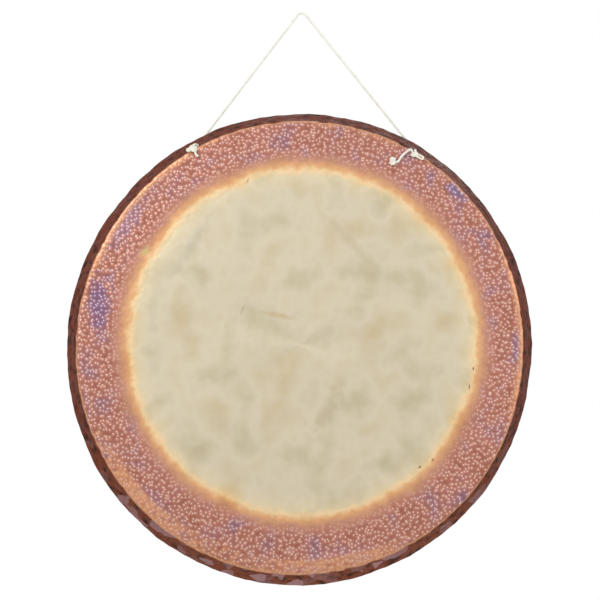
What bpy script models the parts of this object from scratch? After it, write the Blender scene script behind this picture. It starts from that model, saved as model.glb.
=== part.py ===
"""Tam gong: a hand-hammered bronze tam-tam on one cord, hung over a hook that isn't part of it.

World frame: metres, +Z up, the struck face towards -Y. The origin is where the cord bears on the hook.
Gong frame: X right, Y from the face towards the open back, Z up, the origin at the middle of the face.
"""

import math

import bmesh
import bpy
import numpy as np
from mathutils import Matrix, Vector

# Gong, in the gong frame
LIP_RADIUS = 0.4064  # outside of the open rear lip: a 32-inch gong
RIM_DEPTH = 0.0385  # front of the face to the lip
RIM_FLARE = math.radians(30)  # the turned-back rim leans out from the axis by this much
BEND_RADIUS = 0.009  # between the face and the rim
WALL = 0.0023
OUT_OF_ROUND = 0.0092  # the hand-made circle is longer one way by this share
LONG_WAY = math.radians(72.5)
CENTRE_RADIUS = 0.309  # edge of the scraped, pale middle
FACE_RINGS = (0.09, 0.2, CENTRE_RADIUS, 0.35)
BEND_STEPS = 3
RIM_STEPS = 2
SEGMENTS = 96
FACE_WAVE = 0.0007  # how far the hammered face strays from flat
LIP_WAVE = 0.0005  # and the lip from its oval

# Holes for the cord, on the rim just behind the bend
HOLE_RADIUS = 0.0036
HOLE_SEGMENTS = 20
HOLE_CUTTER_LENGTH = 8 * WALL
HOLE_INSET = 0.0187  # from the lip's radius
HOLE_LEAN = math.radians(51)  # between the hole's axis and the gong's
HOLE_ANGLES = {"left": math.radians(117.7), "right": math.radians(59.9)}

# Cord
CORD_RADIUS = 0.002
KNOT_CORD_RADIUS = 0.00145  # squeezed where a knot is pulled tight
HOOK_RADIUS = 0.007  # of the bar that the cord hangs over
GAP = 0.0003
CORD_STEP = 0.010
LEAD_STEP = 0.0035
FREE_END_STEP = 0.0042
KNOT_STEP = 0.0021
BEND_POINTS = 9  # on the bend over the hook
ROUTE_SAMPLES = 16  # between two points of a route
WELD = 1e-6

# Where the cord turns over the rear lip, as world X and Z. The gong tilts about the line through both.
LIP_TURN = {"left": (-0.1692, -0.2283), "right": (0.1848, -0.2322)}
HANG_HEIGHT = 0.3672  # middle of that line above the middle of the gong
BEHIND_LIP = 0.0062  # that line behind the lip
HOOK_HINGE_Z = -0.005  # the two legs swing about a line this far under the cord's top bearing

# Inside the rim, from the lip to the hole: share of the way round to the hole, inset from the lip's
# radius, and depth behind the face
LEAD_ROUTE = (
    (0.28, 0.0040, 0.0440),
    (0.52, 0.0078, 0.0385),
    (0.70, 0.0130, 0.0310),
    (0.84, 0.0186, 0.0235),
    (0.94, 0.0240, 0.0166),
    (1.00, 0.0262, 0.0122),
)
BEHIND_HOLE = 0.0062  # the cord runs straight into its hole from here

# Knots in front of the holes, in the gong frame: middle, then the angles of the strand from the hole,
# of the loop and of the tail or the free end, and how far the loop reaches from the middle
KNOT_STAND = 0.0042  # middle of a knot in front of the face
KNOTS = {
    "left": {"middle": (-0.1869, 0.3372), "from_hole": 62, "loop": 199, "loop_reach": 0.0105, "tail": -68},
    "right": {"middle": (0.1941, 0.3316), "from_hole": 96, "loop": -28, "loop_reach": 0.0165, "tail": 128},
}
KNOT_RING = 0.0038  # the strand winds round a ring of this radius
KNOT_WIND = 0.00175  # at this distance from it
KNOT_OPENING = math.radians(17)  # left out of the winding, for the two ends
KNOT_POINTS = 40
KNOT_OUT = 0.0024  # the strand leaves its hole straight for this far
KNOT_ENTRY = 0.0028  # and comes into the winding from this far back
KNOT_ENTRY_DEPTH = 0.0016
LOOP_SPREAD = 0.0017  # each strand of a loop, from the loop's middle line
LOOP_START = 0.0045  # inside the knot
TAIL_START = 0.005
TAIL_REACH = 0.0165
TAIL_POINTS = 4
FREE_END_ROUTE = ((0.1862, -0.0068, 0.3385), (0.1768, -0.0060, 0.3318), (0.1706, -0.0044, 0.3252))
END_KNOT_MIDDLE = (0.1574, 0.3187)
END_KNOT_FROM = 6
END_KNOT_ENTRY = 0.0030

COLOURS = {
    "scraped_bronze": ((0.68, 0.62, 0.49), 0.38, 0.9),
    "hammered_bronze": ((0.44, 0.20, 0.15), 0.42, 0.85),
    "rim_bronze": ((0.075, 0.032, 0.02), 0.5, 0.7),
    "back_bronze": ((0.11, 0.055, 0.035), 0.55, 0.7),
    "cord": ((0.80, 0.78, 0.70), 0.8, 0.0),
}


def clear_scene():
    for obj in list(bpy.data.objects):
        bpy.data.objects.remove(obj)


def make_collection(name):
    collection = bpy.data.collections.new(name)
    bpy.context.scene.collection.children.link(collection)
    return collection


def make_material(name):
    colour, roughness, metallic = COLOURS[name]
    material = bpy.data.materials.new(name)
    material.use_nodes = True
    shader = material.node_tree.nodes["Principled BSDF"]
    shader.inputs["Base Color"].default_value = (*colour, 1)
    shader.inputs["Roughness"].default_value = roughness
    shader.inputs["Metallic"].default_value = metallic
    return material


def link(name, data, collection, parent=None):
    obj = bpy.data.objects.new(name, data)
    obj.parent = parent
    collection.objects.link(obj)
    return obj


def lip_radius(angle):
    return LIP_RADIUS * (1 + OUT_OF_ROUND * math.cos(2 * (angle - LONG_WAY)))


def rim_radius_at(depth):
    """Outside radius of the true, round rim, behind the bend."""
    return LIP_RADIUS - (RIM_DEPTH - depth) * math.tan(RIM_FLARE)


def gong_point(angle, inset, depth):
    """A point by its angle from X, its distance inside the lip's radius, and its depth behind the face."""
    radius = lip_radius(angle) - inset
    return Vector((radius * math.cos(angle), depth, radius * math.sin(angle)))


def gong_profile():
    """Radius and depth of the front surface, from the middle out to the lip."""
    bend_turn = math.pi / 2 - RIM_FLARE
    bend_depth = BEND_RADIUS * (1 - math.cos(bend_turn))
    face_radius = rim_radius_at(bend_depth) - BEND_RADIUS * math.sin(bend_turn)
    profile = [(0, 0)] + [(radius, 0) for radius in FACE_RINGS]
    for step in range(BEND_STEPS + 1):
        turn = bend_turn * step / BEND_STEPS
        profile.append((face_radius + BEND_RADIUS * math.sin(turn), BEND_RADIUS * (1 - math.cos(turn))))
    for step in range(1, RIM_STEPS + 1):
        depth = bend_depth + (RIM_DEPTH - bend_depth) * step / RIM_STEPS
        profile.append((rim_radius_at(depth), depth))
    return profile


def hammered(point):
    """Moves a point of the true dish to where the hammer left it: an oval, wavy lip and an uneven face."""
    x, depth, z = point
    radius = math.hypot(x, z)
    angle = math.atan2(z, x)
    if radius == 0:
        return point
    at_lip = max(0, depth / RIM_DEPTH)
    ripples = math.sin(7 * angle) + 0.7 * math.sin(17 * angle + 1) + 0.6 * math.sin(29 * angle + 2)
    lip_wave = LIP_WAVE * ripples
    out = radius * (1 + OUT_OF_ROUND * math.cos(2 * (angle - LONG_WAY))) + at_lip * lip_wave
    spokes = math.sin(3 * angle + 1) + math.cos(5 * angle)
    face_wave = FACE_WAVE * math.sin(9 * radius / LIP_RADIUS) * spokes
    return Vector((out * math.cos(angle), depth + (1 - at_lip) * face_wave, out * math.sin(angle)))


def centre_of_shell(bm):
    """Centre of mass of a thin shell of even thickness, half the wall behind its front surface."""
    total = sum(face.calc_area() for face in bm.faces)
    middle = sum((face.calc_area() * face.calc_center_median() for face in bm.faces), Vector()) / total
    behind = sum((face.calc_area() * -face.normal for face in bm.faces), Vector()) / total
    return middle + behind * WALL / 2


def make_gong_shell():
    """The front surface of the gong, turned, then put out of true, with its centre of mass."""
    bm = bmesh.new()
    points = [bm.verts.new((radius, depth, 0)) for radius, depth in gong_profile()]
    lines = [bm.edges.new(pair) for pair in zip(points, points[1:])]
    bmesh.ops.spin(bm, geom=points + lines, cent=(0, 0, 0), axis=(0, 1, 0), angle=math.tau, steps=SEGMENTS)
    bmesh.ops.remove_doubles(bm, verts=bm.verts, dist=WELD)
    for vert in bm.verts:
        vert.co = hammered(vert.co)
    bmesh.ops.recalc_face_normals(bm, faces=bm.faces)
    bm.normal_update()
    middle_face = min(bm.faces, key=lambda face: face.calc_center_median().length)
    if middle_face.normal.y > 0:
        bmesh.ops.reverse_faces(bm, faces=bm.faces)
    face_edge = gong_profile()[len(FACE_RINGS) + 1][0]
    for face in bm.faces:
        middle = face.calc_center_median()
        radius = math.hypot(middle.x, middle.z)
        face.material_index = 0 if radius < CENTRE_RADIUS else 1 if radius < face_edge else 2
        face.smooth = True
    bm.normal_update()
    centre = centre_of_shell(bm)
    mesh = bpy.data.meshes.new("gong_plate")
    bm.to_mesh(mesh)
    bm.free()
    return mesh, centre


def hole_axis(side):
    """Middle of a hole on the rim's outside, and the direction that leaves it."""
    angle = HOLE_ANGLES[side]
    depth = RIM_DEPTH - HOLE_INSET / math.tan(RIM_FLARE)
    outwards = Vector((math.cos(angle), 0, math.sin(angle)))
    out = outwards * math.sin(HOLE_LEAN) - Vector((0, math.cos(HOLE_LEAN), 0))
    return gong_point(angle, HOLE_INSET, depth), out


def make_gong_plate(mesh, parts, cutters, hang):
    plate = link("gong_plate", mesh, parts, hang)
    for name in ("scraped_bronze", "hammered_bronze", "rim_bronze", "back_bronze"):
        mesh.materials.append(make_material(name))
    shell = plate.modifiers.new("wall", "SOLIDIFY")
    shell.thickness = WALL
    shell.offset = -1
    shell.use_even_offset = True
    shell.material_offset = 3
    shell.material_offset_rim = 0
    for side in HOLE_ANGLES:
        middle, out = hole_axis(side)
        bm = bmesh.new()
        bmesh.ops.create_cone(
            bm,
            cap_ends=True,
            segments=HOLE_SEGMENTS,
            radius1=HOLE_RADIUS,
            radius2=HOLE_RADIUS,
            depth=HOLE_CUTTER_LENGTH,
        )
        cutter_mesh = bpy.data.meshes.new(f"hole_cutter_{side}")
        bm.to_mesh(cutter_mesh)
        bm.free()
        cutter = link(f"hole_cutter_{side}", cutter_mesh, cutters, hang)
        cutter.matrix_local = Matrix.Translation(middle) @ out.to_track_quat("Z", "Y").to_matrix().to_4x4()
        cutter.hide_render = True
        cutter.display_type = "WIRE"
        cut = plate.modifiers.new(f"hole_{side}", "BOOLEAN")
        cut.operation = "DIFFERENCE"
        cut.object = cutter
    return plate


def smooth_route(points, step):
    """Points about a step apart on the smooth curve through the route's own points."""
    points = [Vector(point) for point in points]
    padded = [2 * points[0] - points[1], *points, 2 * points[-1] - points[-2]]
    fine = []
    for before, start, end, after in zip(padded, padded[1:], padded[2:], padded[3:]):
        for part in range(ROUTE_SAMPLES):
            t = part / ROUTE_SAMPLES
            fine.append(
                0.5
                * (
                    2 * start
                    + (end - before) * t
                    + (2 * before - 5 * start + 4 * end - after) * t**2
                    + (3 * start - before - 3 * end + after) * t**3
                )
            )
    fine.append(points[-1])
    along = np.concatenate([[0], np.cumsum([(b - a).length for a, b in zip(fine, fine[1:])])])
    count = max(2, round(along[-1] / step) + 1)
    places = np.linspace(0, along[-1], count)
    columns = [np.interp(places, along, [point[axis] for point in fine]) for axis in range(3)]
    return [Vector(point) for point in zip(*columns)]


def length_of(points):
    return sum((b - a).length for a, b in zip(points, points[1:]))


def least_gap(points, radius):
    """Least free space between a tube and itself, between points more than a bend apart."""
    array = np.array(points)
    along = np.concatenate([[0], np.cumsum(np.linalg.norm(np.diff(array, axis=0), axis=1))])
    apart = np.linalg.norm(array[:, None] - array[None], axis=2)
    apart[np.abs(along[:, None] - along[None]) < 7 * radius] = 1
    return apart.min() - 2 * radius


def make_tube(name, points, radius, material, collection, parent=None, widths=None):
    curve = bpy.data.curves.new(name, "CURVE")
    curve.dimensions = "3D"
    curve.bevel_depth = radius
    curve.bevel_resolution = 2
    curve.use_fill_caps = True
    spline = curve.splines.new("POLY")
    spline.points.add(len(points) - 1)
    for place, (point, width) in enumerate(zip(points, widths or [1] * len(points))):
        spline.points[place].co = (*point, 1)
        spline.points[place].radius = width
    spline.use_smooth = True
    curve.materials.append(material)
    print(f"{name}: {1000 * length_of(points):.1f} mm long")
    return link(name, curve, collection, parent)


def rounded_end(centre, direction):
    """Points and widths that end a cord in a half ball round a hinge line, from its middle outwards."""
    turns = [math.radians(angle) for angle in (0, 30, 55, 78)]
    points = [centre + direction * CORD_RADIUS * math.sin(turn) for turn in turns]
    return points, [math.cos(turn) for turn in turns]


def tangent_at_hook(side):
    """Direction from the hook down to the lip, with the angle and the point where the cord leaves the bar."""
    x, z = LIP_TURN[side]
    from_bar = Vector((x, 0, z + HOOK_RADIUS))
    bend = HOOK_RADIUS + CORD_RADIUS
    sign = -1 if side == "left" else 1
    off_line = math.acos(bend / from_bar.length)
    lean = math.atan2(abs(from_bar.x), from_bar.z) - off_line
    leaves = Vector((sign * bend * math.sin(lean), 0, bend * math.cos(lean) - HOOK_RADIUS))
    return (Vector((x, 0, z)) - leaves).normalized(), lean, leaves


def hook_hinge_point(side):
    direction, _, leaves = tangent_at_hook(side)
    return leaves + direction * (HOOK_HINGE_Z - leaves.z) / direction.z


def make_bight(parts, material):
    """The bend over the hook, with a short straight piece down each side to the hinge line."""
    bend = HOOK_RADIUS + CORD_RADIUS
    leans = {side: tangent_at_hook(side)[1] for side in LIP_TURN}
    points = []
    for side in LIP_TURN:
        direction, _, leaves = tangent_at_hook(side)
        end = hook_hinge_point(side) - direction * (CORD_RADIUS + GAP)
        points.append([end, (end + leaves) / 2])
    arc = []
    for turn in np.linspace(-leans["left"], leans["right"], BEND_POINTS):
        arc.append(Vector((bend * math.sin(turn), 0, bend * math.cos(turn) - HOOK_RADIUS)))
    return make_tube("cord_over_hook", points[0] + arc + points[1][::-1], CORD_RADIUS, material, parts)


def make_leg(side, parts, material, sling):
    direction = tangent_at_hook(side)[0]
    top = hook_hinge_point(side)
    x, z = LIP_TURN[side]
    low = Vector((x, 0, z))
    top_points, top_widths = rounded_end(top, -direction)
    low_points, low_widths = rounded_end(low, direction)
    between = smooth_route([top, (top + low) / 2, low], CORD_STEP)[1:-1]
    points = top_points[::-1] + between + low_points
    widths = top_widths[::-1] + [1] * len(between) + low_widths
    shift = Vector((0, 0, HOOK_HINGE_Z))
    return make_tube(
        f"cord_leg_{side}", [p - shift for p in points], CORD_RADIUS, material, parts, sling, widths
    )


def lip_turn_in_gong(side, to_gong):
    x, z = LIP_TURN[side]
    return to_gong @ Vector((x, 0, z))


def make_lead(side, parts, material, hang, to_gong):
    """The cord from the lip, forward under the rim, and out through its hole."""
    turn_point = lip_turn_in_gong(side, to_gong)
    direction = (to_gong.to_3x3() @ tangent_at_hook(side)[0]).normalized()
    start_angle = math.atan2(turn_point.z, turn_point.x)
    hole, out = hole_axis(side)
    points = [turn_point + direction * (CORD_RADIUS + GAP)]
    for share, inset, depth in LEAD_ROUTE:
        angle = start_angle + (HOLE_ANGLES[side] - start_angle) * share
        points.append(gong_point(angle, inset, depth))
    points += [hole - out * BEHIND_HOLE, hole - out * WALL, hole]
    route = smooth_route(points, LEAD_STEP)
    return make_tube(f"cord_lead_{side}", route, CORD_RADIUS, material, parts, hang)


def knot_winding(middle, from_angle, turn_way):
    """An overhand knot pulled round: the strand winds three times about a ring, twice round it."""
    start = math.radians(from_angle)
    points = []
    for t in np.linspace(KNOT_OPENING, math.tau - KNOT_OPENING, KNOT_POINTS):
        ring = KNOT_RING + KNOT_WIND * math.cos(3 * t)
        angle = start + turn_way * 2 * t
        points.append(
            Vector(
                (
                    middle[0] + ring * math.cos(angle),
                    -KNOT_STAND + KNOT_WIND * math.sin(3 * t),
                    middle[1] + ring * math.sin(angle),
                )
            )
        )
    return points


def in_face(degrees):
    return Vector((math.cos(math.radians(degrees)), 0, math.sin(math.radians(degrees))))


def loop_points(middle, degrees, reach):
    """A short loop that sticks out of a knot: out on one side, round, and back on the other."""
    out = in_face(degrees)
    side = in_face(degrees + 90)
    centre = Vector((middle[0], -KNOT_STAND, middle[1]))
    spread = side * LOOP_SPREAD
    root = centre + out * LOOP_START
    turns_at = centre + out * (reach - LOOP_SPREAD)
    points = [root + spread, turns_at + spread]
    for turn in np.radians((60, 30, 0, -30, -60)):
        points.append(turns_at + out * LOOP_SPREAD * math.cos(turn) + spread * math.sin(turn))
    return points + [turns_at - spread, root - spread]


def as_mesh(curve_object, collection):
    """The tube as a mesh with welded caps, under the same name, for a Boolean."""
    name = curve_object.name
    graph = bpy.context.evaluated_depsgraph_get()
    mesh = bpy.data.meshes.new_from_object(curve_object.evaluated_get(graph))
    bm = bmesh.new()
    bm.from_mesh(mesh)
    bmesh.ops.remove_doubles(bm, verts=bm.verts, dist=WELD)
    bm.to_mesh(mesh)
    bm.free()
    parent, place = curve_object.parent, curve_object.matrix_world.copy()
    bpy.data.objects.remove(curve_object)
    obj = link(name, mesh, collection, parent)
    obj.matrix_world = place
    return obj


def join_into(target, other, cutters):
    other = as_mesh(other, cutters)
    other.hide_render = True
    other.display_type = "WIRE"
    joined = target.modifiers.new(other.name, "BOOLEAN")
    joined.operation = "UNION"
    joined.object = other


def make_rim_knot(side, parts, cutters, material, hang):
    """The stopper knot in front of a hole, with the strand to it, its loop and, at the left, its tail."""
    knot = KNOTS[side]
    hole, out = hole_axis(side)
    turn_way = 1 if side == "left" else -1
    winding = knot_winding(knot["middle"], knot["from_hole"], turn_way)
    start = hole + out * GAP
    back = (winding[0] - winding[1]).normalized()
    into_winding = winding[0] + back * KNOT_ENTRY + Vector((0, KNOT_ENTRY_DEPTH, 0))
    entry = [start, start + out * KNOT_OUT, into_winding]
    path = smooth_route(entry + winding[::2], KNOT_STEP)
    print(f"knot_{side}: {1000 * least_gap(path, KNOT_CORD_RADIUS):.2f} mm from itself")
    body = as_mesh(make_tube(f"knot_{side}", path, KNOT_CORD_RADIUS, material, parts, hang), parts)
    loop = loop_points(knot["middle"], knot["loop"], knot["loop_reach"])
    join_into(
        body, make_tube(f"knot_loop_{side}", loop, KNOT_CORD_RADIUS, material, cutters, hang), cutters
    )
    if side == "left":
        centre = Vector((knot["middle"][0], -KNOT_STAND, knot["middle"][1]))
        reaches = np.linspace(TAIL_START, TAIL_REACH, TAIL_POINTS)
        tail = [centre + in_face(knot["tail"]) * reach for reach in reaches]
        tail_tube = make_tube("knot_tail_left", tail, KNOT_CORD_RADIUS, material, cutters, hang)
        join_into(body, tail_tube, cutters)
    return body


def make_free_end(parts, material, hang):
    """The long end that leaves the right knot, and the stopper knot at its tip."""
    knot = KNOTS["right"]
    centre = Vector((knot["middle"][0], -KNOT_STAND, knot["middle"][1]))
    outside_knot = KNOT_RING + KNOT_WIND + KNOT_CORD_RADIUS + CORD_RADIUS + GAP
    start = centre + in_face(knot["tail"]) * outside_knot
    winding = knot_winding(END_KNOT_MIDDLE, END_KNOT_FROM, -1)
    back = (winding[0] - winding[1]).normalized()
    meet = winding[0] + back * END_KNOT_ENTRY
    free = smooth_route([start, *FREE_END_ROUTE, meet + back * END_KNOT_ENTRY, meet], FREE_END_STEP)
    make_tube("cord_free_end", free, CORD_RADIUS, material, parts, hang)
    entry = [winding[0] + back * reach for reach in (END_KNOT_ENTRY - GAP, END_KNOT_ENTRY / 2)]
    path = smooth_route(entry + winding[::2], KNOT_STEP)
    print(f"knot_end: {1000 * least_gap(path, KNOT_CORD_RADIUS):.2f} mm from itself")
    make_tube("knot_end", path, KNOT_CORD_RADIUS, material, parts, hang)


def hang_gong(parts, centre):
    """Empties on the hinge lines. The gong hangs tilted, its centre of mass under the line at the lip."""
    hinge_depth = RIM_DEPTH + BEHIND_LIP
    tilt = math.atan2(hinge_depth - centre.y, HANG_HEIGHT - centre.z)
    (left_x, left_z), (right_x, right_z) = LIP_TURN["left"], LIP_TURN["right"]
    line = Vector(((left_x + right_x) / 2, 0, (left_z + right_z) / 2))
    hang = link("gong_hang", None, parts)
    turned = Matrix.Translation(line) @ Matrix.Rotation(tilt, 4, "X")
    hang.matrix_world = turned @ Matrix.Translation((-line.x, -hinge_depth, -HANG_HEIGHT))
    sling = link("sling_hinge", None, parts)
    sling.location = (0, 0, HOOK_HINGE_Z)
    axis = Vector((right_x - left_x, 0, right_z - left_z)).normalized()
    middle = hang.matrix_world @ Vector((0, 0, 0))
    print(f"tilt {math.degrees(tilt):.3f} degrees, hinge at {line[:]}, axis {axis[:]}")
    print(f"middle of the face {middle[:]}, centre of mass {(hang.matrix_world @ centre)[:]}")
    return hang, sling


def main():
    clear_scene()
    parts = make_collection("tam_gong")
    cutters = make_collection("cutters")
    mesh, centre = make_gong_shell()
    hang, sling = hang_gong(parts, centre)
    bpy.context.view_layer.update()
    to_gong = hang.matrix_world.inverted()
    make_gong_plate(mesh, parts, cutters, hang)
    cord = make_material("cord")
    make_bight(parts, cord)
    for side in LIP_TURN:
        make_leg(side, parts, cord, sling)
        make_lead(side, parts, cord, hang, to_gong)
        bpy.context.view_layer.update()
        make_rim_knot(side, parts, cutters, cord, hang)
    make_free_end(parts, cord, hang)


main()
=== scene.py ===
# The looks of a tam gong: a hand-hammered bronze tam-tam hung on one thin cord.
# Metres, +Z up, the struck face towards -Y. The gong's own frame has its origin at the middle of the face.

import math

import bpy
import numpy as np
from mathutils import Matrix, Vector
from mathutils.kdtree import KDTree


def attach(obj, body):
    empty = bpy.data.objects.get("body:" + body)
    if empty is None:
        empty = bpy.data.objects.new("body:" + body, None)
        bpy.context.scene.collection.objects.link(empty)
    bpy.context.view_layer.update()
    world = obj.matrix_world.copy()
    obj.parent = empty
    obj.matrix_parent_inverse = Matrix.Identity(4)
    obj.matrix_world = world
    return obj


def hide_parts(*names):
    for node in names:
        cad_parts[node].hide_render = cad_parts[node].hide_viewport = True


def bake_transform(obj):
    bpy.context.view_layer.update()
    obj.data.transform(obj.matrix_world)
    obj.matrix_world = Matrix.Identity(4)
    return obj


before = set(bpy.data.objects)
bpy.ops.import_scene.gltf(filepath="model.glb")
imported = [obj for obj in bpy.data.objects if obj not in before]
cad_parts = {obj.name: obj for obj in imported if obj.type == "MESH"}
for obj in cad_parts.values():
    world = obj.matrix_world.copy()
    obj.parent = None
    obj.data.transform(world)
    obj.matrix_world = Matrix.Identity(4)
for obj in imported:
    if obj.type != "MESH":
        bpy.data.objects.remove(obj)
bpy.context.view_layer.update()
print("frame loaded")

dish = {
    "lipRadius": 0.4064,
    "rimDepth": 0.0385,
    "rimFlare": math.radians(30),
    "bendRadius": 0.009,
    "wall": 0.0023,
    "outOfRound": 0.0092,
    "longWay": math.radians(72.5),
    "faceWave": 0.0007,
    "lipWave": 0.0005,
    "around": 840,  # points round each ring
    "middleRings": (0.008, 0.286, 36),  # first radius, last radius and count, on the smooth middle
    "outerRings": (0.2885, 38),  # first radius and count, out to the bend, close enough for small marks
    "bendRings": 6,
    "rimRings": 14,
    "lipRings": 6,
    "backEvery": {"face": 6, "bend": 2, "rim": 2},  # the plain back keeps one ring in so many
    "tilt": math.radians(6.2),
    "hangLine": Vector((0.0078, 0, -0.23025)),  # middle of the line the gong tilts about
    "hangDepth": 0.0447,  # that line in the gong's own frame
    "hangHeight": 0.3672,
    "holeRadius": 0.0036,
    "holeInset": 0.0187,
    "holeLean": math.radians(51),
    "holeAngles": {"left": math.radians(117.7), "right": math.radians(59.9)},
    "drillReach": 0.006,  # to each side of the plate
}

marks = {
    "seed": 7,
    "ringFrom": 0.292,  # dense small hammer marks from here to the rim
    "ringTo": 0.384,
    "ringSpacing": 0.0078,  # real marks are 7 to 9 mm apart
    "ringReach": 0.0056,
    "ringDepth": (0.00022, 0.00052),
    "middleSpacing": 0.034,  # broad, mostly scraped away
    "middleReach": 0.026,
    "middleDepth": (0.00008, 0.00032),
    "middleGap": 0.012,  # between these and the first of the small ones
    "scatter": 0.24,  # how unevenly they lie, as a share of their spacing
    "rimSpacing": 0.021,  # flats left by the hammer on the turned-back rim
    "rimReach": 0.0165,
    "rimDepth": (0.0004, 0.0013),
    "rimFrom": 0.008,  # depth of the first row of flats
    "rimRows": 0.62,  # from row to row, as a share of their spacing
    "rimScatter": 0.3,
    "rimUneven": 0.003,
}

cord = {
    "radius": 0.002,
    "hookRadius": 0.007,
    "lipTurn": {"left": Vector((-0.1692, 0, -0.2283)), "right": Vector((0.1848, 0, -0.2322))},
    "upperShares": (0, 0.35, 0.7, 0.95),  # points on each straight, as shares of its length
    "lowerShares": (0, 0.3, 0.6, 0.85),
    "bendPoints": 9,
    "beforeLip": 0.004,  # the last straight point before the turn over the lip
    # behind the rim: share of the way round to the hole, in from the lip's edge, depth
    "leadRoute": (
        (0.28, 0.0040, 0.0440),
        (0.52, 0.0078, 0.0385),
        (0.70, 0.0130, 0.0310),
        (0.84, 0.0186, 0.0235),
        (0.94, 0.0240, 0.0166),
        (1.00, 0.0262, 0.0122),
    ),
    "behindHole": 0.0062,
    "pastHole": 0.0005,
    "curveSteps": 16,  # between two points of a route, before it is spaced evenly
    "step": 0.0016,
    "sides": 16,
    "endTurns": (25, 50, 72, 86),  # degrees of the rings on a rounded end
    "braidStrands": 4,  # that wind each way
    "braidHeight": 0.00007,
    "braidLength": 0.0052,  # one turn of a braided strand
}

knots = {
    "stand": 0.0044,  # middle of the lump, in front of the face
    "wind": 0.0018,  # how far the strand winds in and out of its ring
    "opening": math.radians(17),
    "windingPoints": 60,
    # middle x and z on the face, angles in degrees, sizes in metres
    "left": {"middle": (-0.1869, 0.3372), "from": 62, "way": 1, "ring": 0.0040, "strand": 0.0020,
             "loop": 199, "reach": 0.0118, "spread": 0.0018, "tail": -68, "tailReach": 0.0172},
    "right": {"middle": (0.1941, 0.3316), "from": 96, "way": -1, "ring": 0.0033, "strand": 0.0018,
              "loop": -28, "reach": 0.0172, "spread": 0.0023},
    "end": {"middle": (0.1574, 0.3187), "from": 6, "way": -1, "ring": 0.0040, "strand": 0.0020},
    "freeEnd": ((0.1862, -0.0068, 0.3385), (0.1768, -0.0060, 0.3318), (0.1706, -0.0044, 0.3252)),
    "freeEndFrom": 128,
    "freeEndStart": 0.0063,  # from the middle of the right knot
    "freeEndInto": (0.006, 0.002),  # before the winding of the stopper knot
    "freeEndStep": 0.0012,
    "endEntry": (0.003, 0.0015),
    "beforeHole": 0.0024,
    "entry": 0.0028,  # before the winding of a rim knot, and how much deeper than it
    "entryDepth": 0.0016,
    "root": 0.003,  # a loop or tail starts this far from the middle, inside the lump
    "loopTurns": (55, 0, -55),
    "loopSqueeze": 0.92,
    "tailPlaces": (0.003, 0.008, 0.012),
    "tailBend": 6,
    "step": 0.0008,
    "voxel": 0.00038,
}

rng = np.random.default_rng(marks["seed"])
toWorld = (
    Matrix.Translation(dish["hangLine"])
    @ Matrix.Rotation(dish["tilt"], 4, "X")
    @ Matrix.Translation((-dish["hangLine"].x, -dish["hangDepth"], -dish["hangHeight"]))
)


# sRGB hex to the linear colour that a shader takes
def hexColour(code):
    parts = [int(code[place : place + 2], 16) / 255 for place in (1, 3, 5)]
    return (*[part / 12.92 if part <= 0.04045 else ((part + 0.055) / 1.055) ** 2.4 for part in parts], 1)


def addNode(tree, kind, inputs=None, stops=None, **settings):
    node = tree.nodes.new(kind)
    for name, value in settings.items():
        setattr(node, name, value)
    for name, value in (inputs or {}).items():
        if isinstance(value, bpy.types.NodeSocket):
            tree.links.new(value, node.inputs[name])
        else:
            node.inputs[name].default_value = value
    if stops:
        elements = node.color_ramp.elements
        elements.remove(elements[-1])
        for number, (place, colour) in enumerate(stops):
            element = elements[0] if number == 0 else elements.new(place)
            element.position = place
            element.color = hexColour(colour)
    return node


def newMaterial(name):
    material = bpy.data.materials.new(name)
    material.use_nodes = True
    return material, material.node_tree, material.node_tree.nodes["Principled BSDF"]


# Camera, fitted to the outline of the gong in the photograph

view = {
    "place": (-0.0729, -2.5475, -1.0363),
    "azimuth": math.radians(1.60),
    "elevation": math.radians(11.43),
    "roll": math.radians(0.15),
    "lens": 90.72,
    "sensor": 36,
}


def makeCamera():
    azimuth, elevation, roll = view["azimuth"], view["elevation"], view["roll"]
    ahead = Vector((
        math.sin(azimuth) * math.cos(elevation),
        math.cos(azimuth) * math.cos(elevation),
        math.sin(elevation),
    ))
    level = Vector((math.cos(azimuth), -math.sin(azimuth), 0))
    upright = level.cross(ahead)
    right = level * math.cos(roll) + upright * math.sin(roll)
    up = right.cross(ahead)
    data = bpy.data.cameras.new("camera")
    data.lens, data.sensor_width = view["lens"], view["sensor"]
    camera = bpy.data.objects.new("camera", data)
    bpy.context.scene.collection.objects.link(camera)
    turn = Matrix((right, up, -ahead)).transposed().to_4x4()
    camera.matrix_world = Matrix.Translation(view["place"]) @ turn
    bpy.context.scene.camera = camera


# Cord

def smoothRoute(points, step):
    points = [Vector(point) for point in points]
    padded = [2 * points[0] - points[1], *points, 2 * points[-1] - points[-2]]
    fine = []
    for before, start, end, after in zip(padded, padded[1:], padded[2:], padded[3:]):
        for t in np.arange(cord["curveSteps"]) / cord["curveSteps"]:
            curve = 2 * start + (end - before) * t + (2 * before - 5 * start + 4 * end - after) * t**2
            fine.append(0.5 * (curve + (3 * start - before - 3 * end + after) * t**3))
    fine.append(points[-1])
    along = np.concatenate([[0], np.cumsum([(b - a).length for a, b in zip(fine, fine[1:])])])
    places = np.linspace(0, along[-1], max(2, round(along[-1] / step) + 1))
    evened = [np.interp(places, along, [point[axis] for point in fine]) for axis in range(3)]
    return [Vector(point) for point in zip(*evened)]


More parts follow.
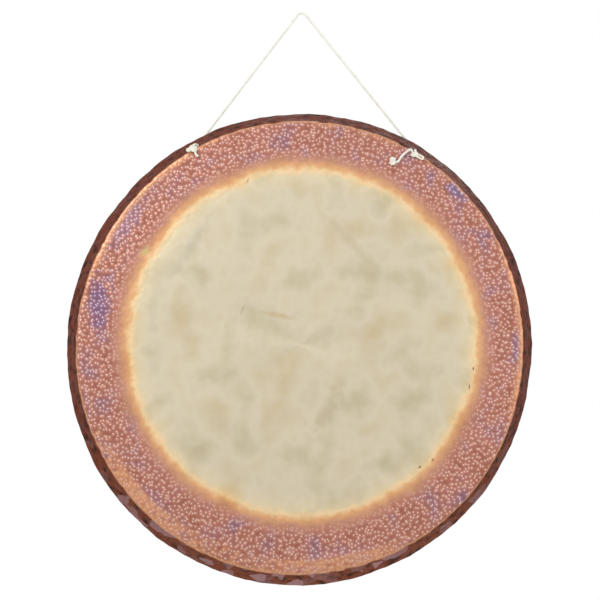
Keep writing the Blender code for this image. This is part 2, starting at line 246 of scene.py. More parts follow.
# A closed tube along the points, with round ends and the relief of a braid where asked
def tubeMesh(name, points, radius, braided=False, roundEnds=(False, False)):
    points = [Vector(p) for p in points]
    widths = [1.0] * len(points)
    for atEnd, wanted in enumerate(roundEnds):
        if wanted:
            tip, inner = (points[0], points[1]) if atEnd == 0 else (points[-1], points[-2])
            out = (tip - inner).normalized()
            turns = np.radians(cord["endTurns"])
            extra = [tip + out * radius * math.sin(turn) for turn in turns]
            narrow = [math.cos(turn) for turn in turns]
            points = extra[::-1] + points if atEnd == 0 else points + extra
            widths = narrow[::-1] + widths if atEnd == 0 else widths + narrow
    sides = cord["sides"]
    tangents = [(b - a).normalized() for a, b in zip(points, points[1:])]
    tangents.insert(0, tangents[0])
    across = tangents[0].orthogonal().normalized()
    verts, along = [], 0.0
    for number, (point, tangent, width) in enumerate(zip(points, tangents, widths)):
        across = (across - tangent * across.dot(tangent)).normalized()
        other = tangent.cross(across)
        along += (point - points[number - 1]).length if number else 0
        for side in range(sides):
            angle = math.tau * side / sides
            pitch = math.tau * along / cord["braidLength"]
            wrap = cord["braidStrands"] * angle
            relief = cord["braidHeight"] * math.sin(wrap + pitch) * math.sin(wrap - pitch) if braided else 0
            reach = radius * width + relief * width
            verts.append(point + (across * math.cos(angle) + other * math.sin(angle)) * reach)
    faces = []
    for row in range(len(points) - 1):
        for side in range(sides):
            a, b = row * sides + side, row * sides + (side + 1) % sides
            faces.append((a, b, b + sides, a + sides))
    faces.append(tuple(range(sides))[::-1])
    faces.append(tuple(range((len(points) - 1) * sides, len(points) * sides)))
    mesh = bpy.data.meshes.new(name)
    mesh.from_pydata(verts, [], faces)
    mesh.shade_smooth()
    return mesh


def addPiece(name, mesh, material, world=None):
    piece = bpy.data.objects.new(name, mesh)
    bpy.context.scene.collection.objects.link(piece)
    if world:
        piece.matrix_world = world
    mesh.materials.clear()
    mesh.materials.append(material)
    return piece


def holeAxis(side):
    angle = dish["holeAngles"][side]
    depth = dish["rimDepth"] - dish["holeInset"] / math.tan(dish["rimFlare"])
    outwards = Vector((math.cos(angle), 0, math.sin(angle)))
    out = outwards * math.sin(dish["holeLean"]) - Vector((0, math.cos(dish["holeLean"]), 0))
    return gongPoint(angle, dish["holeInset"], depth), out


def gongPoint(angle, inset, depth):
    radius = dish["lipRadius"] * (1 + dish["outOfRound"] * math.cos(2 * (angle - dish["longWay"]))) - inset
    return Vector((radius * math.cos(angle), depth, radius * math.sin(angle)))


# Where the cord leaves the hook's bar, and the angle from straight up
def leaveHook(side):
    turn = cord["lipTurn"][side]
    fromBar = turn + Vector((0, 0, cord["hookRadius"]))
    bend = cord["hookRadius"] + cord["radius"]
    lean = math.atan2(abs(fromBar.x), fromBar.z) - math.acos(bend / fromBar.length)
    sign = -1 if side == "left" else 1
    return Vector((sign * bend * math.sin(lean), 0, bend * math.cos(lean) - cord["hookRadius"])), lean


def makeCords(material):
    toGong = toWorld.inverted()
    bend = cord["hookRadius"] + cord["radius"]
    middles, leaves, leans = {}, {}, {}
    for side, turn in cord["lipTurn"].items():
        leaves[side], leans[side] = leaveHook(side)
        middles[side] = (leaves[side] + turn) / 2
    arc = [
        Vector((bend * math.sin(turn), 0, bend * math.cos(turn) - cord["hookRadius"]))
        for turn in np.linspace(-leans["left"], leans["right"], cord["bendPoints"])
    ]
    straights = {
        side: [middles[side] + (leaves[side] - middles[side]) * share for share in cord["upperShares"]]
        for side in leaves
    }
    upperRoute = smoothRoute(straights["left"] + arc + straights["right"][::-1], cord["step"])
    upper = addPiece("cord_upper", tubeMesh("cord_upper", upperRoute, cord["radius"], True), material)
    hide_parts("cord_over_hook")
    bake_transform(upper)
    for side, turn in cord["lipTurn"].items():
        hole, out = holeAxis(side)
        inGong = toGong @ turn
        startAngle = math.atan2(inGong.z, inGong.x)
        lead = [
            gongPoint(startAngle + (dish["holeAngles"][side] - startAngle) * share, inset, depth)
            for share, inset, depth in cord["leadRoute"]
        ]
        lead += [hole - out * cord["behindHole"], hole - out * dish["wall"], hole + out * cord["pastHole"]]
        down = (turn - middles[side]).normalized()
        leg = [middles[side] + (turn - middles[side]) * share for share in cord["lowerShares"]]
        leg += [turn - down * cord["beforeLip"], turn]
        route = smoothRoute(leg + [toWorld @ point for point in lead], cord["step"])
        name = f"cord_lower_{side}"
        lower = addPiece(name, tubeMesh(name, route, cord["radius"], True), material)
        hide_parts(f"cord_leg_{side}", f"cord_lead_{side}")
        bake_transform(lower)
    print("cords made")


# Knots: each an overhand knot pulled tight, its strands pressed into one lump

# The strand goes twice round the ring and three times in and out of it
def knotWinding(knot):
    points = []
    for t in np.linspace(knots["opening"], math.tau - knots["opening"], knots["windingPoints"]):
        ring = knot["ring"] + knots["wind"] * math.cos(3 * t)
        angle = math.radians(knot["from"]) + knot["way"] * 2 * t
        x, z = knot["middle"][0] + ring * math.cos(angle), knot["middle"][1] + ring * math.sin(angle)
        points.append(Vector((x, -knots["stand"] + knots["wind"] * math.sin(3 * t), z)))
    return points


def inFace(degrees):
    return Vector((math.cos(math.radians(degrees)), 0, math.sin(math.radians(degrees))))


# Strands that overlap become one surface, with grooves where they meet
def fuse(name, meshes, material):
    verts, faces = [], []
    for mesh in meshes:
        start = len(verts)
        verts += [vert.co.copy() for vert in mesh.vertices]
        faces += [tuple(start + index for index in face.vertices) for face in mesh.polygons]
    raw = bpy.data.meshes.new(name + "_raw")
    raw.from_pydata(verts, [], faces)
    holder = bpy.data.objects.new(name + "_raw", raw)
    bpy.context.scene.collection.objects.link(holder)
    remesh = holder.modifiers.new("fuse", "REMESH")
    remesh.mode, remesh.voxel_size = "VOXEL", knots["voxel"]
    mesh = bpy.data.meshes.new_from_object(holder.evaluated_get(bpy.context.evaluated_depsgraph_get()))
    bpy.data.objects.remove(holder)
    mesh.name = name
    mesh.shade_smooth()
    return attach(addPiece(name, mesh, material, toWorld), "gong")


def makeKnots(material):
    for side in ("left", "right"):
        knot = knots[side]
        hole, out = holeAxis(side)
        winding = knotWinding(knot)
        back = (winding[0] - winding[1]).normalized()
        deeper = Vector((0, knots["entryDepth"], 0))
        entry = [hole, hole + out * knots["beforeHole"], winding[0] + back * knots["entry"] + deeper]
        route = smoothRoute(entry + winding[::2], knots["step"])
        strands = [tubeMesh("winding", route, knot["strand"], True, (False, True))]
        centre = Vector((knot["middle"][0], -knots["stand"], knot["middle"][1]))
        far, aside = inFace(knot["loop"]), inFace(knot["loop"] + 90) * knot["spread"]
        turnsAt = centre + far * (knot["reach"] - knot["spread"])
        loop = [centre + far * knots["root"] + aside, turnsAt + aside]
        for turn in np.radians(knots["loopTurns"]):
            loop.append(turnsAt + far * knot["spread"] * math.cos(turn) + aside * math.sin(turn))
        loop += [turnsAt - aside, centre + far * knots["root"] - aside]
        route = smoothRoute(loop, knots["step"])
        strands.append(tubeMesh("loop", route, knot["strand"] * knots["loopSqueeze"], True))
        if "tail" in knot:
            tail = [centre + inFace(knot["tail"]) * reach for reach in knots["tailPlaces"]]
            tip = inFace(knot["tail"] + knots["tailBend"])
            tail.append(centre + tip * (knot["tailReach"] - knot["strand"]))
            route = smoothRoute(tail, knots["step"])
            strands.append(tubeMesh("tail", route, knot["strand"], True, (False, True)))
        piece = fuse(f"rim_knot_{side}", strands, material)
        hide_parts(f"knot_{side}")
    right, end = knots["right"], knots["end"]
    centre = Vector((right["middle"][0], -knots["stand"], right["middle"][1]))
    winding = knotWinding(end)
    back = (winding[0] - winding[1]).normalized()
    start = centre + inFace(knots["freeEndFrom"]) * knots["freeEndStart"]
    runIn = [winding[0] + back * reach for reach in knots["freeEndInto"]]
    route = smoothRoute([start, *knots["freeEnd"], *runIn], knots["freeEndStep"])
    worldRoute = [toWorld @ point for point in route]
    free = addPiece("cord_free", tubeMesh("cord_free", worldRoute, cord["radius"], True), material)
    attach(free, "gong")
    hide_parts("cord_free_end")
    entry = [winding[0] + back * reach for reach in knots["endEntry"]]
    route = smoothRoute(entry + winding[::2], knots["step"])
    strand = tubeMesh("end", route, end["strand"], True, (False, True))
    endKnot = fuse("end_knot", [strand], material)
    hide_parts("knot_end")
    print("knots made")


# Gong

# Radius, depth and outward normal down the front, round the lip and back to the middle
def dishProfile():
    flare, bend, wall = dish["rimFlare"], dish["bendRadius"], dish["wall"]
    fullTurn = math.pi / 2 - flare
    bendDepth = bend * (1 - math.cos(fullTurn))
    rimRadius = dish["lipRadius"] - (dish["rimDepth"] - bendDepth) * math.tan(flare)
    faceRadius = rimRadius - bend * math.sin(fullTurn)
    along = Vector((math.sin(flare), math.cos(flare)))
    outward = Vector((math.cos(flare), -math.sin(flare)))
    rimLength = (dish["rimDepth"] - bendDepth) / math.cos(flare) - wall / 2
    outerFrom, outerCount = dish["outerRings"]
    radii = [*np.linspace(*dish["middleRings"]), *np.linspace(outerFrom, faceRadius, outerCount)]
    front = [(radius, 0, 0, -1) for radius in radii]
    for turn in np.linspace(0, fullTurn, dish["bendRings"])[1:]:
        radius, depth = faceRadius + bend * math.sin(turn), bend * (1 - math.cos(turn))
        front.append((radius, depth, math.sin(turn), -math.cos(turn)))
    for reach in np.linspace(0, rimLength, dish["rimRings"])[1:]:
        front.append((rimRadius + along.x * reach, bendDepth + along.y * reach, outward.x, outward.y))
    lip = []
    middle = Vector(front[-1][:2]) - outward * wall / 2
    for turn in np.linspace(0, math.pi, dish["lipRings"])[1:-1]:
        way = outward * math.cos(turn) + along * math.sin(turn)
        lip.append((*(middle + way * wall / 2), outward.x, outward.y))
    every = dish["backEvery"]
    bendStart, rimStart = len(radii), len(radii) + dish["bendRings"] - 1
    coarse = front[: bendStart : every["face"]] + front[bendStart : rimStart : every["bend"]]
    coarse += front[rimStart + 1 :: every["rim"]]
    behind = [(radius - nr * wall, depth - nd * wall, nr, nd) for radius, depth, nr, nd in coarse[::-1]]
    return front + lip, behind


# Places of the hammer marks on the true dish, with the depth and reach of each
def hammerMarks():
    places = []
    for start, stop, kind in (
        (marks["middleSpacing"] / 2, marks["ringFrom"] - marks["middleGap"], "middle"),
        (marks["ringFrom"], marks["ringTo"], "ring"),
    ):
        spacing, reach, depth = marks[kind + "Spacing"], marks[kind + "Reach"], marks[kind + "Depth"]
        for radius in np.arange(start, stop, spacing):
            for angle in np.arange(0, math.tau, spacing / radius):
                turn = angle + rng.normal(0, marks["scatter"]) * spacing / radius
                out = radius + rng.normal(0, marks["scatter"]) * spacing
                places.append(((out * math.cos(turn), 0, out * math.sin(turn)), rng.uniform(*depth), reach))
    for depth in np.arange(marks["rimFrom"], dish["rimDepth"], marks["rimSpacing"] * marks["rimRows"]):
        for angle in np.arange(0, math.tau, marks["rimSpacing"] / dish["lipRadius"]):
            turn = angle + rng.normal(0, marks["rimScatter"]) * marks["rimSpacing"] / dish["lipRadius"]
            deep = depth + rng.normal(0, marks["rimUneven"])
            radius = dish["lipRadius"] - (dish["rimDepth"] - deep) * math.tan(dish["rimFlare"])
            place = (radius * math.cos(turn), deep, radius * math.sin(turn))
            places.append((place, rng.uniform(*marks["rimDepth"]), marks["rimReach"]))
    return places


def makeGong(frontMaterial, backMaterial):
    front, behind = dishProfile()
    places = hammerMarks()
    tree = KDTree(len(places))
    for number, (place, _, _) in enumerate(places):
        tree.insert(place, number)
    tree.balance()
    around = dish["around"]
    angles = np.arange(around) * math.tau / around
    # the hammer leaves the lip a little rippled and the face a little wavy
    ripples = np.sin(7 * angles) + 0.7 * np.sin(17 * angles + 1) + 0.6 * np.sin(29 * angles + 2)
    spokes = np.sin(3 * angles + 1) + np.cos(5 * angles)
    oval = 1 + dish["outOfRound"] * np.cos(2 * (angles - dish["longWay"]))
    verts = []
    for radius, depth, nr, nd in front + behind:
        atLip = max(0, depth / dish["rimDepth"])
        waved = depth + (1 - atLip) * dish["faceWave"] * math.sin(9 * radius / dish["lipRadius"]) * spokes
        out = radius * oval + atLip * dish["lipWave"] * ripples
        pushed = np.zeros(around)
        for number, angle in enumerate(angles):
            _, index, distance = tree.find((radius * math.cos(angle), depth, radius * math.sin(angle)))
            strength, reach = places[index][1:]
            pushed[number] = strength * max(0, 1 - (distance / reach) ** 2) ** 1.5
        out, waved = out - nr * pushed, waved - nd * pushed
        verts += list(zip(out * np.cos(angles), waved, out * np.sin(angles)))
    rings = len(front) + len(behind)
    faces, backFaces = [], []
    for ring in range(rings - 1):
        for place in range(around):
            a, b = ring * around + place, ring * around + (place + 1) % around
            faces.append((a, a + around, b + around, b))
            backFaces.append(ring >= len(front))
    middles = (len(verts), len(verts) + 1)
    verts += [(0, 0, 0), (0, dish["wall"], 0)]
    last = (rings - 1) * around
    for place in range(around):
        after = (place + 1) % around
        faces += [(middles[0], place, after), (middles[1], last + after, last + place)]
        backFaces += [False, True]
    mesh = bpy.data.meshes.new("gong")
    mesh.from_pydata(verts, [], faces)
    mesh.shade_smooth()
    gong = addPiece("hammered_gong", mesh, frontMaterial, toWorld)
    mesh.materials.append(backMaterial)
    mesh.polygons.foreach_set("material_index", np.array(backFaces, np.int32))
    drillHoles(gong)
    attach(gong, "gong")
    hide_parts("gong_plate")
    print("gong made,", len(gong.data.polygons), "faces")
    return gong


def drillHoles(gong):
    cutters = []
    for side in dish["holeAngles"]:
        hole, out = holeAxis(side)
        route = [toWorld @ (hole + out * reach) for reach in (dish["drillReach"], -dish["drillReach"])]
        mesh = tubeMesh("cutter", route, dish["holeRadius"])
        cutter = bpy.data.objects.new("cutter", mesh)
        bpy.context.scene.collection.objects.link(cutter)
        cut = gong.modifiers.new("hole", "BOOLEAN")
        cut.operation, cut.solver, cut.object = "DIFFERENCE", "MANIFOLD", cutter
        cutters.append(cutter)
    graph = bpy.context.evaluated_depsgraph_get()
    cutGong = gong.evaluated_get(graph)
    drilled = bpy.data.meshes.new_from_object(cutGong, preserve_all_data_layers=True, depsgraph=graph)
    gong.modifiers.clear()
    gong.data = drilled
    for cutter in cutters:
        bpy.data.objects.remove(cutter)


# Materials

bronze = {
    "middle": (0.003, 0, 0.007),  # of the scraped circle, in metres from the middle of the face
    "markScale": 1 / 0.0066,  # the fine hammer marks are about 7 mm apart
    # painted highlight: the colour of the glint at the bottom of each hammer mark
    "paintedGlint": "#F3E0D8",
    # painted highlight along the crest of the bend: its colour, where it fades in, and how deep it reaches
    "paintedRidgeHighlight": "#D29A72",
    "ridgeHighlightRadius": (0.366, 0.374),  # fades in over this stretch, at the end of the flat face
    "ridgeHighlightDepth": (0.0009, 0.0022),
    "rimDepth": (0.0029, 0.0050),
    # painted light: the upper rim is painted darker and the lower rim lighter, as light falls on them
    "rimShadedAndLitColours": ("#642C1A", "#743A22"),  # of the upper and the lower rim
    "litLowerRim": (-0.12, -0.38),  # height over which one turns into the other
    # painted highlight on some of the flats of the lower rim
    "flatHighlightColour": "#B08C94",
    # colours out from that middle over this stretch of distance, which the patchy noise shifts by up to 38 mm
    "heatReach": (0.279, 0.379),
    "heat": (
        (0.0, "#CAC0AA"), (0.25, "#D0C3A6"), (0.35, "#E2C69C"), (0.43, "#D3A276"), (0.52, "#BF8E74"),
        (0.66, "#BB8677"), (1.0, "#B17A6C"),
    ),
    # a soft mark on the scraped middle: middle x and z, half length, half width, lean, strength and colour
    "smudges": (
        (0.048, -0.107, 0.070, 0.019, 61, 0.42, "#A99B80"),
        (0.088, 0.174, 0.105, 0.012, -47, 0.38, "#B3A68C"),
        (-0.187, 0.170, 0.085, 0.013, 58, 0.34, "#A6A190"),
        (-0.037, 0.050, 0.042, 0.007, -10, 0.55, "#B79F78"),
        (-0.093, 0.283, 0.007, 0.0016, 65, 0.7, "#8C8069"),
        (-0.267, 0.160, 0.013, 0.009, 40, 0.55, "#BDB877"),
        (0.120, -0.020, 0.080, 0.022, 30, 0.22, "#B9AE96"),
        (-0.110, -0.150, 0.095, 0.024, -35, 0.24, "#B5AA90"),
        (0.295, -0.038, 0.0050, 0.0018, 80, 0.9, "#5E4636"),
        (0.288, -0.069, 0.0065, 0.0018, 85, 0.9, "#5E4636"),
        (0.225, -0.194, 0.0050, 0.0022, 60, 0.9, "#6A4E3C"),
        (0.203, -0.206, 0.0040, 0.0020, 40, 0.9, "#5E4636"),
        (-0.308, 0.212, 0.0085, 0.0018, 55, 0.9, "#513830"),
        (-0.101, 0.058, 0.0150, 0.0016, 70, 0.6, "#8A7A60"),
    ),
    # purple tints on the ring, given the same way
    "patches": (
        (-0.345, 0.066, 0.075, 0.028, 92, 0.75, "#7C6A96"),
        (-0.305, 0.205, 0.075, 0.024, 60, 0.55, "#A48EAA"),
        (0.268, 0.268, 0.035, 0.018, -45, 0.7, "#7F7CA6"),
        (0.372, 0.0, 0.050, 0.014, 90, 0.6, "#8B7CA0"),
        (-0.240, -0.270, 0.060, 0.020, -45, 0.4, "#9C7890"),
        (0.060, -0.356, 0.080, 0.014, 8, 0.35, "#C9A2A0"),
    ),
}


# Lays soft, ragged patches of colour over a colour
def paintMarks(tree, flat, ragged, colour, areas):
    for x, z, long, wide, lean, strength, tint in areas:
        placed = addNode(tree, "ShaderNodeMapping", {
            "Vector": flat, "Location": (x, 0, z), "Rotation": (0, -math.radians(lean), 0),
            "Scale": (long, 1, wide),
        }, vector_type="TEXTURE").outputs[0]
        away = addNode(tree, "ShaderNodeVectorMath", {0: placed}, operation="LENGTH").outputs["Value"]
        rough = addNode(tree, "ShaderNodeMath", {0: ragged, 1: 1.5, 2: away},
                        operation="MULTIPLY_ADD").outputs[0]
        inside = addNode(tree, "ShaderNodeMapRange", {
            "Value": rough, "From Min": 0.9, "From Max": 1.75, "To Min": strength, "To Max": 0.0,
        }, interpolation_type="SMOOTHSTEP").outputs[0]
        colour = addNode(tree, "ShaderNodeMix", {0: inside, 6: colour, 7: hexColour(tint)},
                         data_type="RGBA").outputs[2]
    return colour


# Bronze, hammered hot: an oxidised mauve ring, a scraped satin middle with heat tints, a dark rim
def hammeredBronze():
    material, tree, shader = newMaterial("hammered bronze")
    place = addNode(tree, "ShaderNodeTexCoord").outputs["Object"]
    split = addNode(tree, "ShaderNodeSeparateXYZ", {0: place})
    across, depth, up = split.outputs
    flat = addNode(tree, "ShaderNodeCombineXYZ", {0: across, 2: up}).outputs[0]
    # clouds about 77 mm wide, patches about 13 mm wide, and a satin grain of about 2 mm
    broad = addNode(tree, "ShaderNodeTexNoise", {"Vector": place, "Scale": 13, "Detail": 3}).outputs["Fac"]
    ragged = addNode(tree, "ShaderNodeTexNoise", {"Vector": place, "Scale": 75, "Detail": 5}).outputs["Fac"]
    fine = addNode(tree, "ShaderNodeTexNoise", {"Vector": place, "Scale": 420, "Detail": 3}).outputs["Fac"]
    away = addNode(tree, "ShaderNodeVectorMath", {0: flat, 1: bronze["middle"]}, operation="DISTANCE")
    warped = addNode(tree, "ShaderNodeMath", {0: broad, 1: 0.022, 2: away.outputs["Value"]},
                     operation="MULTIPLY_ADD").outputs[0]
    warped = addNode(tree, "ShaderNodeMath", {0: ragged, 1: 0.016, 2: warped},
                     operation="MULTIPLY_ADD").outputs[0]
    heat = addNode(tree, "ShaderNodeMapRange", {
        "Value": warped, "From Min": bronze["heatReach"][0], "From Max": bronze["heatReach"][1],
    }).outputs[0]
    zones = addNode(tree, "ShaderNodeValToRGB", {0: heat}, bronze["heat"]).outputs[0]
    # the scraped middle is cloudy, and the ring is patchy where the heat tints it
    clouds = addNode(tree, "ShaderNodeValToRGB", {0: broad},
                     ((0.3, "#E4E0D2"), (0.5, "#FFFFFF"), (0.72, "#EFE6D2"))).outputs[0]
    colour = addNode(tree, "ShaderNodeMix", {0: 0.8, 6: zones, 7: clouds}, data_type="RGBA",
                     blend_type="MULTIPLY").outputs[2]
    colour = paintMarks(tree, flat, ragged, colour, bronze["smudges"])
    ring = addNode(tree, "ShaderNodeMapRange", {"Value": heat, "From Min": 0.5, "From Max": 0.72}).outputs[0]
    patchy = addNode(tree, "ShaderNodeTexNoise", {
        "Vector": place, "Scale": 24, "Detail": 4, "Distortion": 0.4,
    }).outputs["Fac"]
    tints = addNode(tree, "ShaderNodeValToRGB", {0: patchy}, (
        (0.3, "#9A7C90"), (0.42, "#B58784"), (0.52, "#C08A7A"), (0.62, "#AE7767"), (0.74, "#CDA092"),
    )).outputs[0]
    tinted = addNode(tree, "ShaderNodeMath", {0: ring, 1: 0.75}, operation="MULTIPLY").outputs[0]
    colour = addNode(tree, "ShaderNodeMix", {0: tinted, 6: colour, 7: tints}, data_type="RGBA").outputs[2]
    colour = paintMarks(tree, flat, ragged, colour, bronze["patches"])
    # painted highlight: a bright glint at the bottom of each mark, and painted shade between the marks
    onFace = addNode(tree, "ShaderNodeCombineXYZ", {0: across, 1: up}).outputs[0]
    cells = addNode(tree, "ShaderNodeTexVoronoi", {"Vector": onFace, "Scale": bronze["markScale"]},
                    voronoi_dimensions="2D").outputs["Distance"]
    paintedMarkShade = addNode(tree, "ShaderNodeValToRGB", {0: cells},
                    ((0.2, "#FFFFFF"), (0.5, "#EBDFDC"), (0.75, "#DCCBC7"))).outputs[0]
    colour = addNode(tree, "ShaderNodeMix", {0: ring, 6: colour, 7: paintedMarkShade}, data_type="RGBA",
                     blend_type="MULTIPLY").outputs[2]
    paintedGlint = addNode(tree, "ShaderNodeMapRange", {
        "Value": cells, "From Min": 0.06, "From Max": 0.24, "To Min": 0.7, "To Max": 0.0,
    }, interpolation_type="SMOOTHSTEP").outputs[0]
    paintedGlint = addNode(tree, "ShaderNodeMath", {0: paintedGlint, 1: ring}, operation="MULTIPLY").outputs[0]
    colour = addNode(tree, "ShaderNodeMix", {0: paintedGlint, 6: colour, 7: hexColour(bronze["paintedGlint"])},
                     data_type="RGBA").outputs[2]
    # a painted highlight along the crest of the bend, where it would catch the light, then the dark rim
    raggedDepth = addNode(tree, "ShaderNodeMath", {0: ragged, 1: 0.0022, 2: depth},
                          operation="MULTIPLY_ADD").outputs[0]
    paintedRidgeHighlight = addNode(tree, "ShaderNodeMapRange", {
        "Value": raggedDepth, "From Min": bronze["ridgeHighlightDepth"][0], "From Max": bronze["ridgeHighlightDepth"][1],
    }, interpolation_type="SMOOTHSTEP").outputs[0]
    edge = addNode(tree, "ShaderNodeMapRange", {
        "Value": away.outputs["Value"],
        "From Min": bronze["ridgeHighlightRadius"][0], "From Max": bronze["ridgeHighlightRadius"][1],
    }).outputs[0]
    paintedRidgeHighlight = addNode(tree, "ShaderNodeMath", {0: paintedRidgeHighlight, 1: edge}, operation="MULTIPLY").outputs[0]
    paintedRidgeHighlight = addNode(tree, "ShaderNodeMath", {0: paintedRidgeHighlight, 1: 0.7}, operation="MULTIPLY").outputs[0]
    colour = addNode(tree, "ShaderNodeMix", {0: paintedRidgeHighlight, 6: colour, 7: hexColour(bronze["paintedRidgeHighlight"])},
                     data_type="RGBA").outputs[2]
    rim = addNode(tree, "ShaderNodeMapRange", {
        "Value": raggedDepth, "From Min": bronze["rimDepth"][0], "From Max": bronze["rimDepth"][1],
    }, interpolation_type="SMOOTHSTEP").outputs[0]
    # painted light: the rim turns from the painted shaded colour to the painted lit colour towards the bottom
    lower = addNode(tree, "ShaderNodeMapRange", {
        "Value": up, "From Min": bronze["litLowerRim"][0], "From Max": bronze["litLowerRim"][1],
    }).outputs[0]
    shadedUpperRim, litLowerRim = [hexColour(code) for code in bronze["rimShadedAndLitColours"]]
    dark = addNode(tree, "ShaderNodeMix", {0: lower, 6: shadedUpperRim, 7: litLowerRim}, data_type="RGBA").outputs[2]
    mottle = addNode(tree, "ShaderNodeValToRGB", {0: ragged},
                     ((0.36, "#6E5C56"), (0.5, "#FFFFFF"), (0.66, "#FFFFFF"))).outputs[0]
    dark = addNode(tree, "ShaderNodeMix", {0: 0.9, 6: dark, 7: mottle}, data_type="RGBA",
                   blend_type="MULTIPLY").outputs[2]
    # painted highlights: some of the flats on the lower rim, about 22 mm wide, are painted lighter where they
    # would catch the light
    flats = addNode(tree, "ShaderNodeTexVoronoi", {"Vector": place, "Scale": 46}).outputs["Color"]
    flatHighlight = addNode(tree, "ShaderNodeSeparateColor", {0: flats}).outputs[0]
    flatHighlight = addNode(tree, "ShaderNodeMapRange", {
        "Value": flatHighlight, "From Min": 0.55, "From Max": 0.95, "To Max": 0.6,
    }).outputs[0]
    lowFlatHighlight = addNode(tree, "ShaderNodeMath", {0: flatHighlight, 1: lower}, operation="MULTIPLY").outputs[0]
    dark = addNode(tree, "ShaderNodeMix", {0: lowFlatHighlight, 6: dark, 7: hexColour(bronze["flatHighlightColour"])},
                   data_type="RGBA").outputs[2]
    colour = addNode(tree, "ShaderNodeMix", {0: rim, 6: colour, 7: dark}, data_type="RGBA").outputs[2]
    tree.links.new(colour, shader.inputs["Base Color"])
    # the oxide on the rim is a dull skin, and the rest is bare or thinly tinted metal
    metal = addNode(tree, "ShaderNodeMapRange", {"Value": rim, "To Min": 0.75, "To Max": 0.0}).outputs[0]
    tree.links.new(metal, shader.inputs["Metallic"])
    shader.inputs["Specular IOR Level"].default_value = 0.04
    gloss = addNode(tree, "ShaderNodeMapRange", {"Value": ring, "To Min": 0.46, "To Max": 0.36}).outputs[0]
    worn = addNode(tree, "ShaderNodeMath", {0: fine, 1: 0.12, 2: gloss}, operation="MULTIPLY_ADD").outputs[0]
    tree.links.new(worn, shader.inputs["Roughness"])
    # sanding lines on the middle, marks on the ring, both finer than the modelled ones
    lined = addNode(tree, "ShaderNodeMapping", {
        "Vector": place, "Rotation": (0, 0.5, 0), "Scale": (60, 60, 900),
    }).outputs[0]
    sanded = addNode(tree, "ShaderNodeTexNoise", {
        "Vector": lined, "Scale": 1, "Detail": 2,
    }).outputs["Fac"]
    sandedBump = addNode(tree, "ShaderNodeBump", {
        "Height": sanded, "Strength": 0.18, "Distance": 0.0002,
    }).outputs[0]
    height = addNode(tree, "ShaderNodeMath", {0: cells, 1: ring}, operation="MULTIPLY").outputs[0]
    markBump = addNode(tree, "ShaderNodeBump", {"Height": height, "Strength": 0.55, "Distance": 0.0012,
                                                "Normal": sandedBump}).outputs[0]
    tree.links.new(markBump, shader.inputs["Normal"])
    return material


# The back of the plate, as the fire and the hammer left it: dark, patchy scale, dented every 16 mm or so
def oxidisedBronze():
    material, tree, shader = newMaterial("oxidised bronze")
    place = addNode(tree, "ShaderNodeTexCoord").outputs["Object"]
    patches = addNode(tree, "ShaderNodeTexNoise", {"Vector": place, "Scale": 14, "Detail": 6}).outputs["Fac"]
    colour = addNode(tree, "ShaderNodeValToRGB", {0: patches}, (
        (0.32, "#2B1A16"), (0.46, "#4A2A20"), (0.56, "#6B3F2E"), (0.68, "#7E5A4C"),
    )).outputs[0]
    cells = addNode(tree, "ShaderNodeTexVoronoi", {"Vector": place, "Scale": 1 / 0.016}).outputs["Distance"]
    shade = addNode(tree, "ShaderNodeValToRGB", {0: cells}, ((0.1, "#C8BEBA"), (0.6, "#FFFFFF"))).outputs[0]
    colour = addNode(tree, "ShaderNodeMix", {0: 1.0, 6: colour, 7: shade}, data_type="RGBA",
                     blend_type="MULTIPLY").outputs[2]
    tree.links.new(colour, shader.inputs["Base Color"])
    shader.inputs["Metallic"].default_value = 0.7
    rough = addNode(tree, "ShaderNodeMapRange", {"Value": patches, "To Min": 0.42, "To Max": 0.68}).outputs[0]
    tree.links.new(rough, shader.inputs["Roughness"])
    bump = addNode(tree, "ShaderNodeBump", {"Height": cells, "Strength": 0.6, "Distance": 0.0016}).outputs[0]
    tree.links.new(bump, shader.inputs["Normal"])
    return material


# Thin braided nylon cord, off-white and dull, a little uneven from handling
def braidedNylon():
    material, tree, shader = newMaterial("braided nylon")
    place = addNode(tree, "ShaderNodeTexCoord").outputs["Object"]
    soil = addNode(tree, "ShaderNodeTexNoise", {"Vector": place, "Scale": 160, "Detail": 4}).outputs["Fac"]
    colour = addNode(tree, "ShaderNodeValToRGB", {0: soil}, (
        (0.3, "#D8D6CA"), (0.5, "#E3E1D6"), (0.7, "#EDEBE1"),
    )).outputs[0]
    tree.links.new(colour, shader.inputs["Base Color"])
    shader.inputs["Roughness"].default_value = 0.78
    shader.inputs["Sheen Weight"].default_value = 0.25
    # the yarns are 0.4 mm wide
    yarns = addNode(tree, "ShaderNodeTexNoise", {
        "Vector": place, "Scale": 1 / 0.0008, "Detail": 2,
    }).outputs["Fac"]
    bump = addNode(tree, "ShaderNodeBump", {"Height": yarns, "Strength": 0.5, "Distance": 0.0003}).outputs[0]
    tree.links.new(bump, shader.inputs["Normal"])
    return material


# Studio

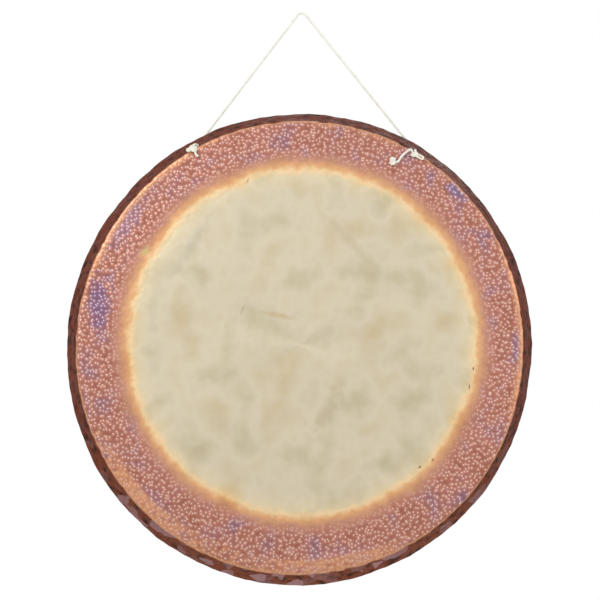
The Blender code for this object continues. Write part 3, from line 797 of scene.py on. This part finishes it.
studio = {
    "floorHeight": -1.25,  # the gong hangs clear of the floor, which is under the photograph's view
    "floorSize": 9,
    "worldStrength": 0.75,
    "aim": Vector((0, 0, -0.6)),  # the lamps face this place, near the middle of the gong
    # name, place, size in metres and power in watts
    "lamps": (
        ("key", (-1.9, -2.6, 0.9), 1.3, 46),
        ("fill", (2.4, -2.3, -0.2), 1.8, 20),
        ("rear", (0.6, 2.4, 0.9), 1.6, 26),
    ),
}


def makeStudio():
    half = studio["floorSize"] / 2
    mesh = bpy.data.meshes.new("floor")
    corners = [(-half, -half, 0), (half, -half, 0), (half, half, 0), (-half, half, 0)]
    mesh.from_pydata(corners, [], [(0, 1, 2, 3)])
    floor = bpy.data.objects.new("floor", mesh)
    floor.location = (0, 0, studio["floorHeight"])
    bpy.context.scene.collection.objects.link(floor)
    material, _, shader = newMaterial("matt paper")
    shader.inputs["Base Color"].default_value = hexColour("#E9E8E5")
    shader.inputs["Roughness"].default_value = 0.9
    mesh.materials.append(material)
    world = bpy.data.worlds.new("studio")
    bpy.context.scene.world = world
    world.use_nodes = True
    tree = world.node_tree
    path = addNode(tree, "ShaderNodeLightPath")
    # seen directly or in a reflection the background is white, and it lights the gong more softly
    seen = addNode(tree, "ShaderNodeMath", {
        0: path.outputs["Is Camera Ray"], 1: path.outputs["Is Glossy Ray"],
    }, operation="MAXIMUM").outputs[0]
    seen = addNode(tree, "ShaderNodeMath", {
        0: seen, 1: path.outputs["Is Transmission Ray"],
    }, operation="MAXIMUM").outputs[0]
    strength = addNode(tree, "ShaderNodeMapRange", {
        "Value": seen, "To Min": studio["worldStrength"], "To Max": 1.0,
    }).outputs[0]
    tree.links.new(strength, tree.nodes["Background"].inputs["Strength"])
    tree.nodes["Background"].inputs["Color"].default_value = (1, 1, 1, 1)
    for name, place, size, power in studio["lamps"]:
        data = bpy.data.lights.new(name, "AREA")
        data.size, data.energy = size, power
        lamp = bpy.data.objects.new(name, data)
        lamp.location = place
        lamp.rotation_euler = (studio["aim"] - Vector(place)).to_track_quat("-Z", "Y").to_euler()
        bpy.context.scene.collection.objects.link(lamp)
    bpy.context.scene.view_settings.view_transform = "Standard"
    print("studio made")


makeCamera()
nylon = braidedNylon()
makeCords(nylon)
makeKnots(nylon)
makeGong(hammeredBronze(), oxidisedBronze())
makeStudio()
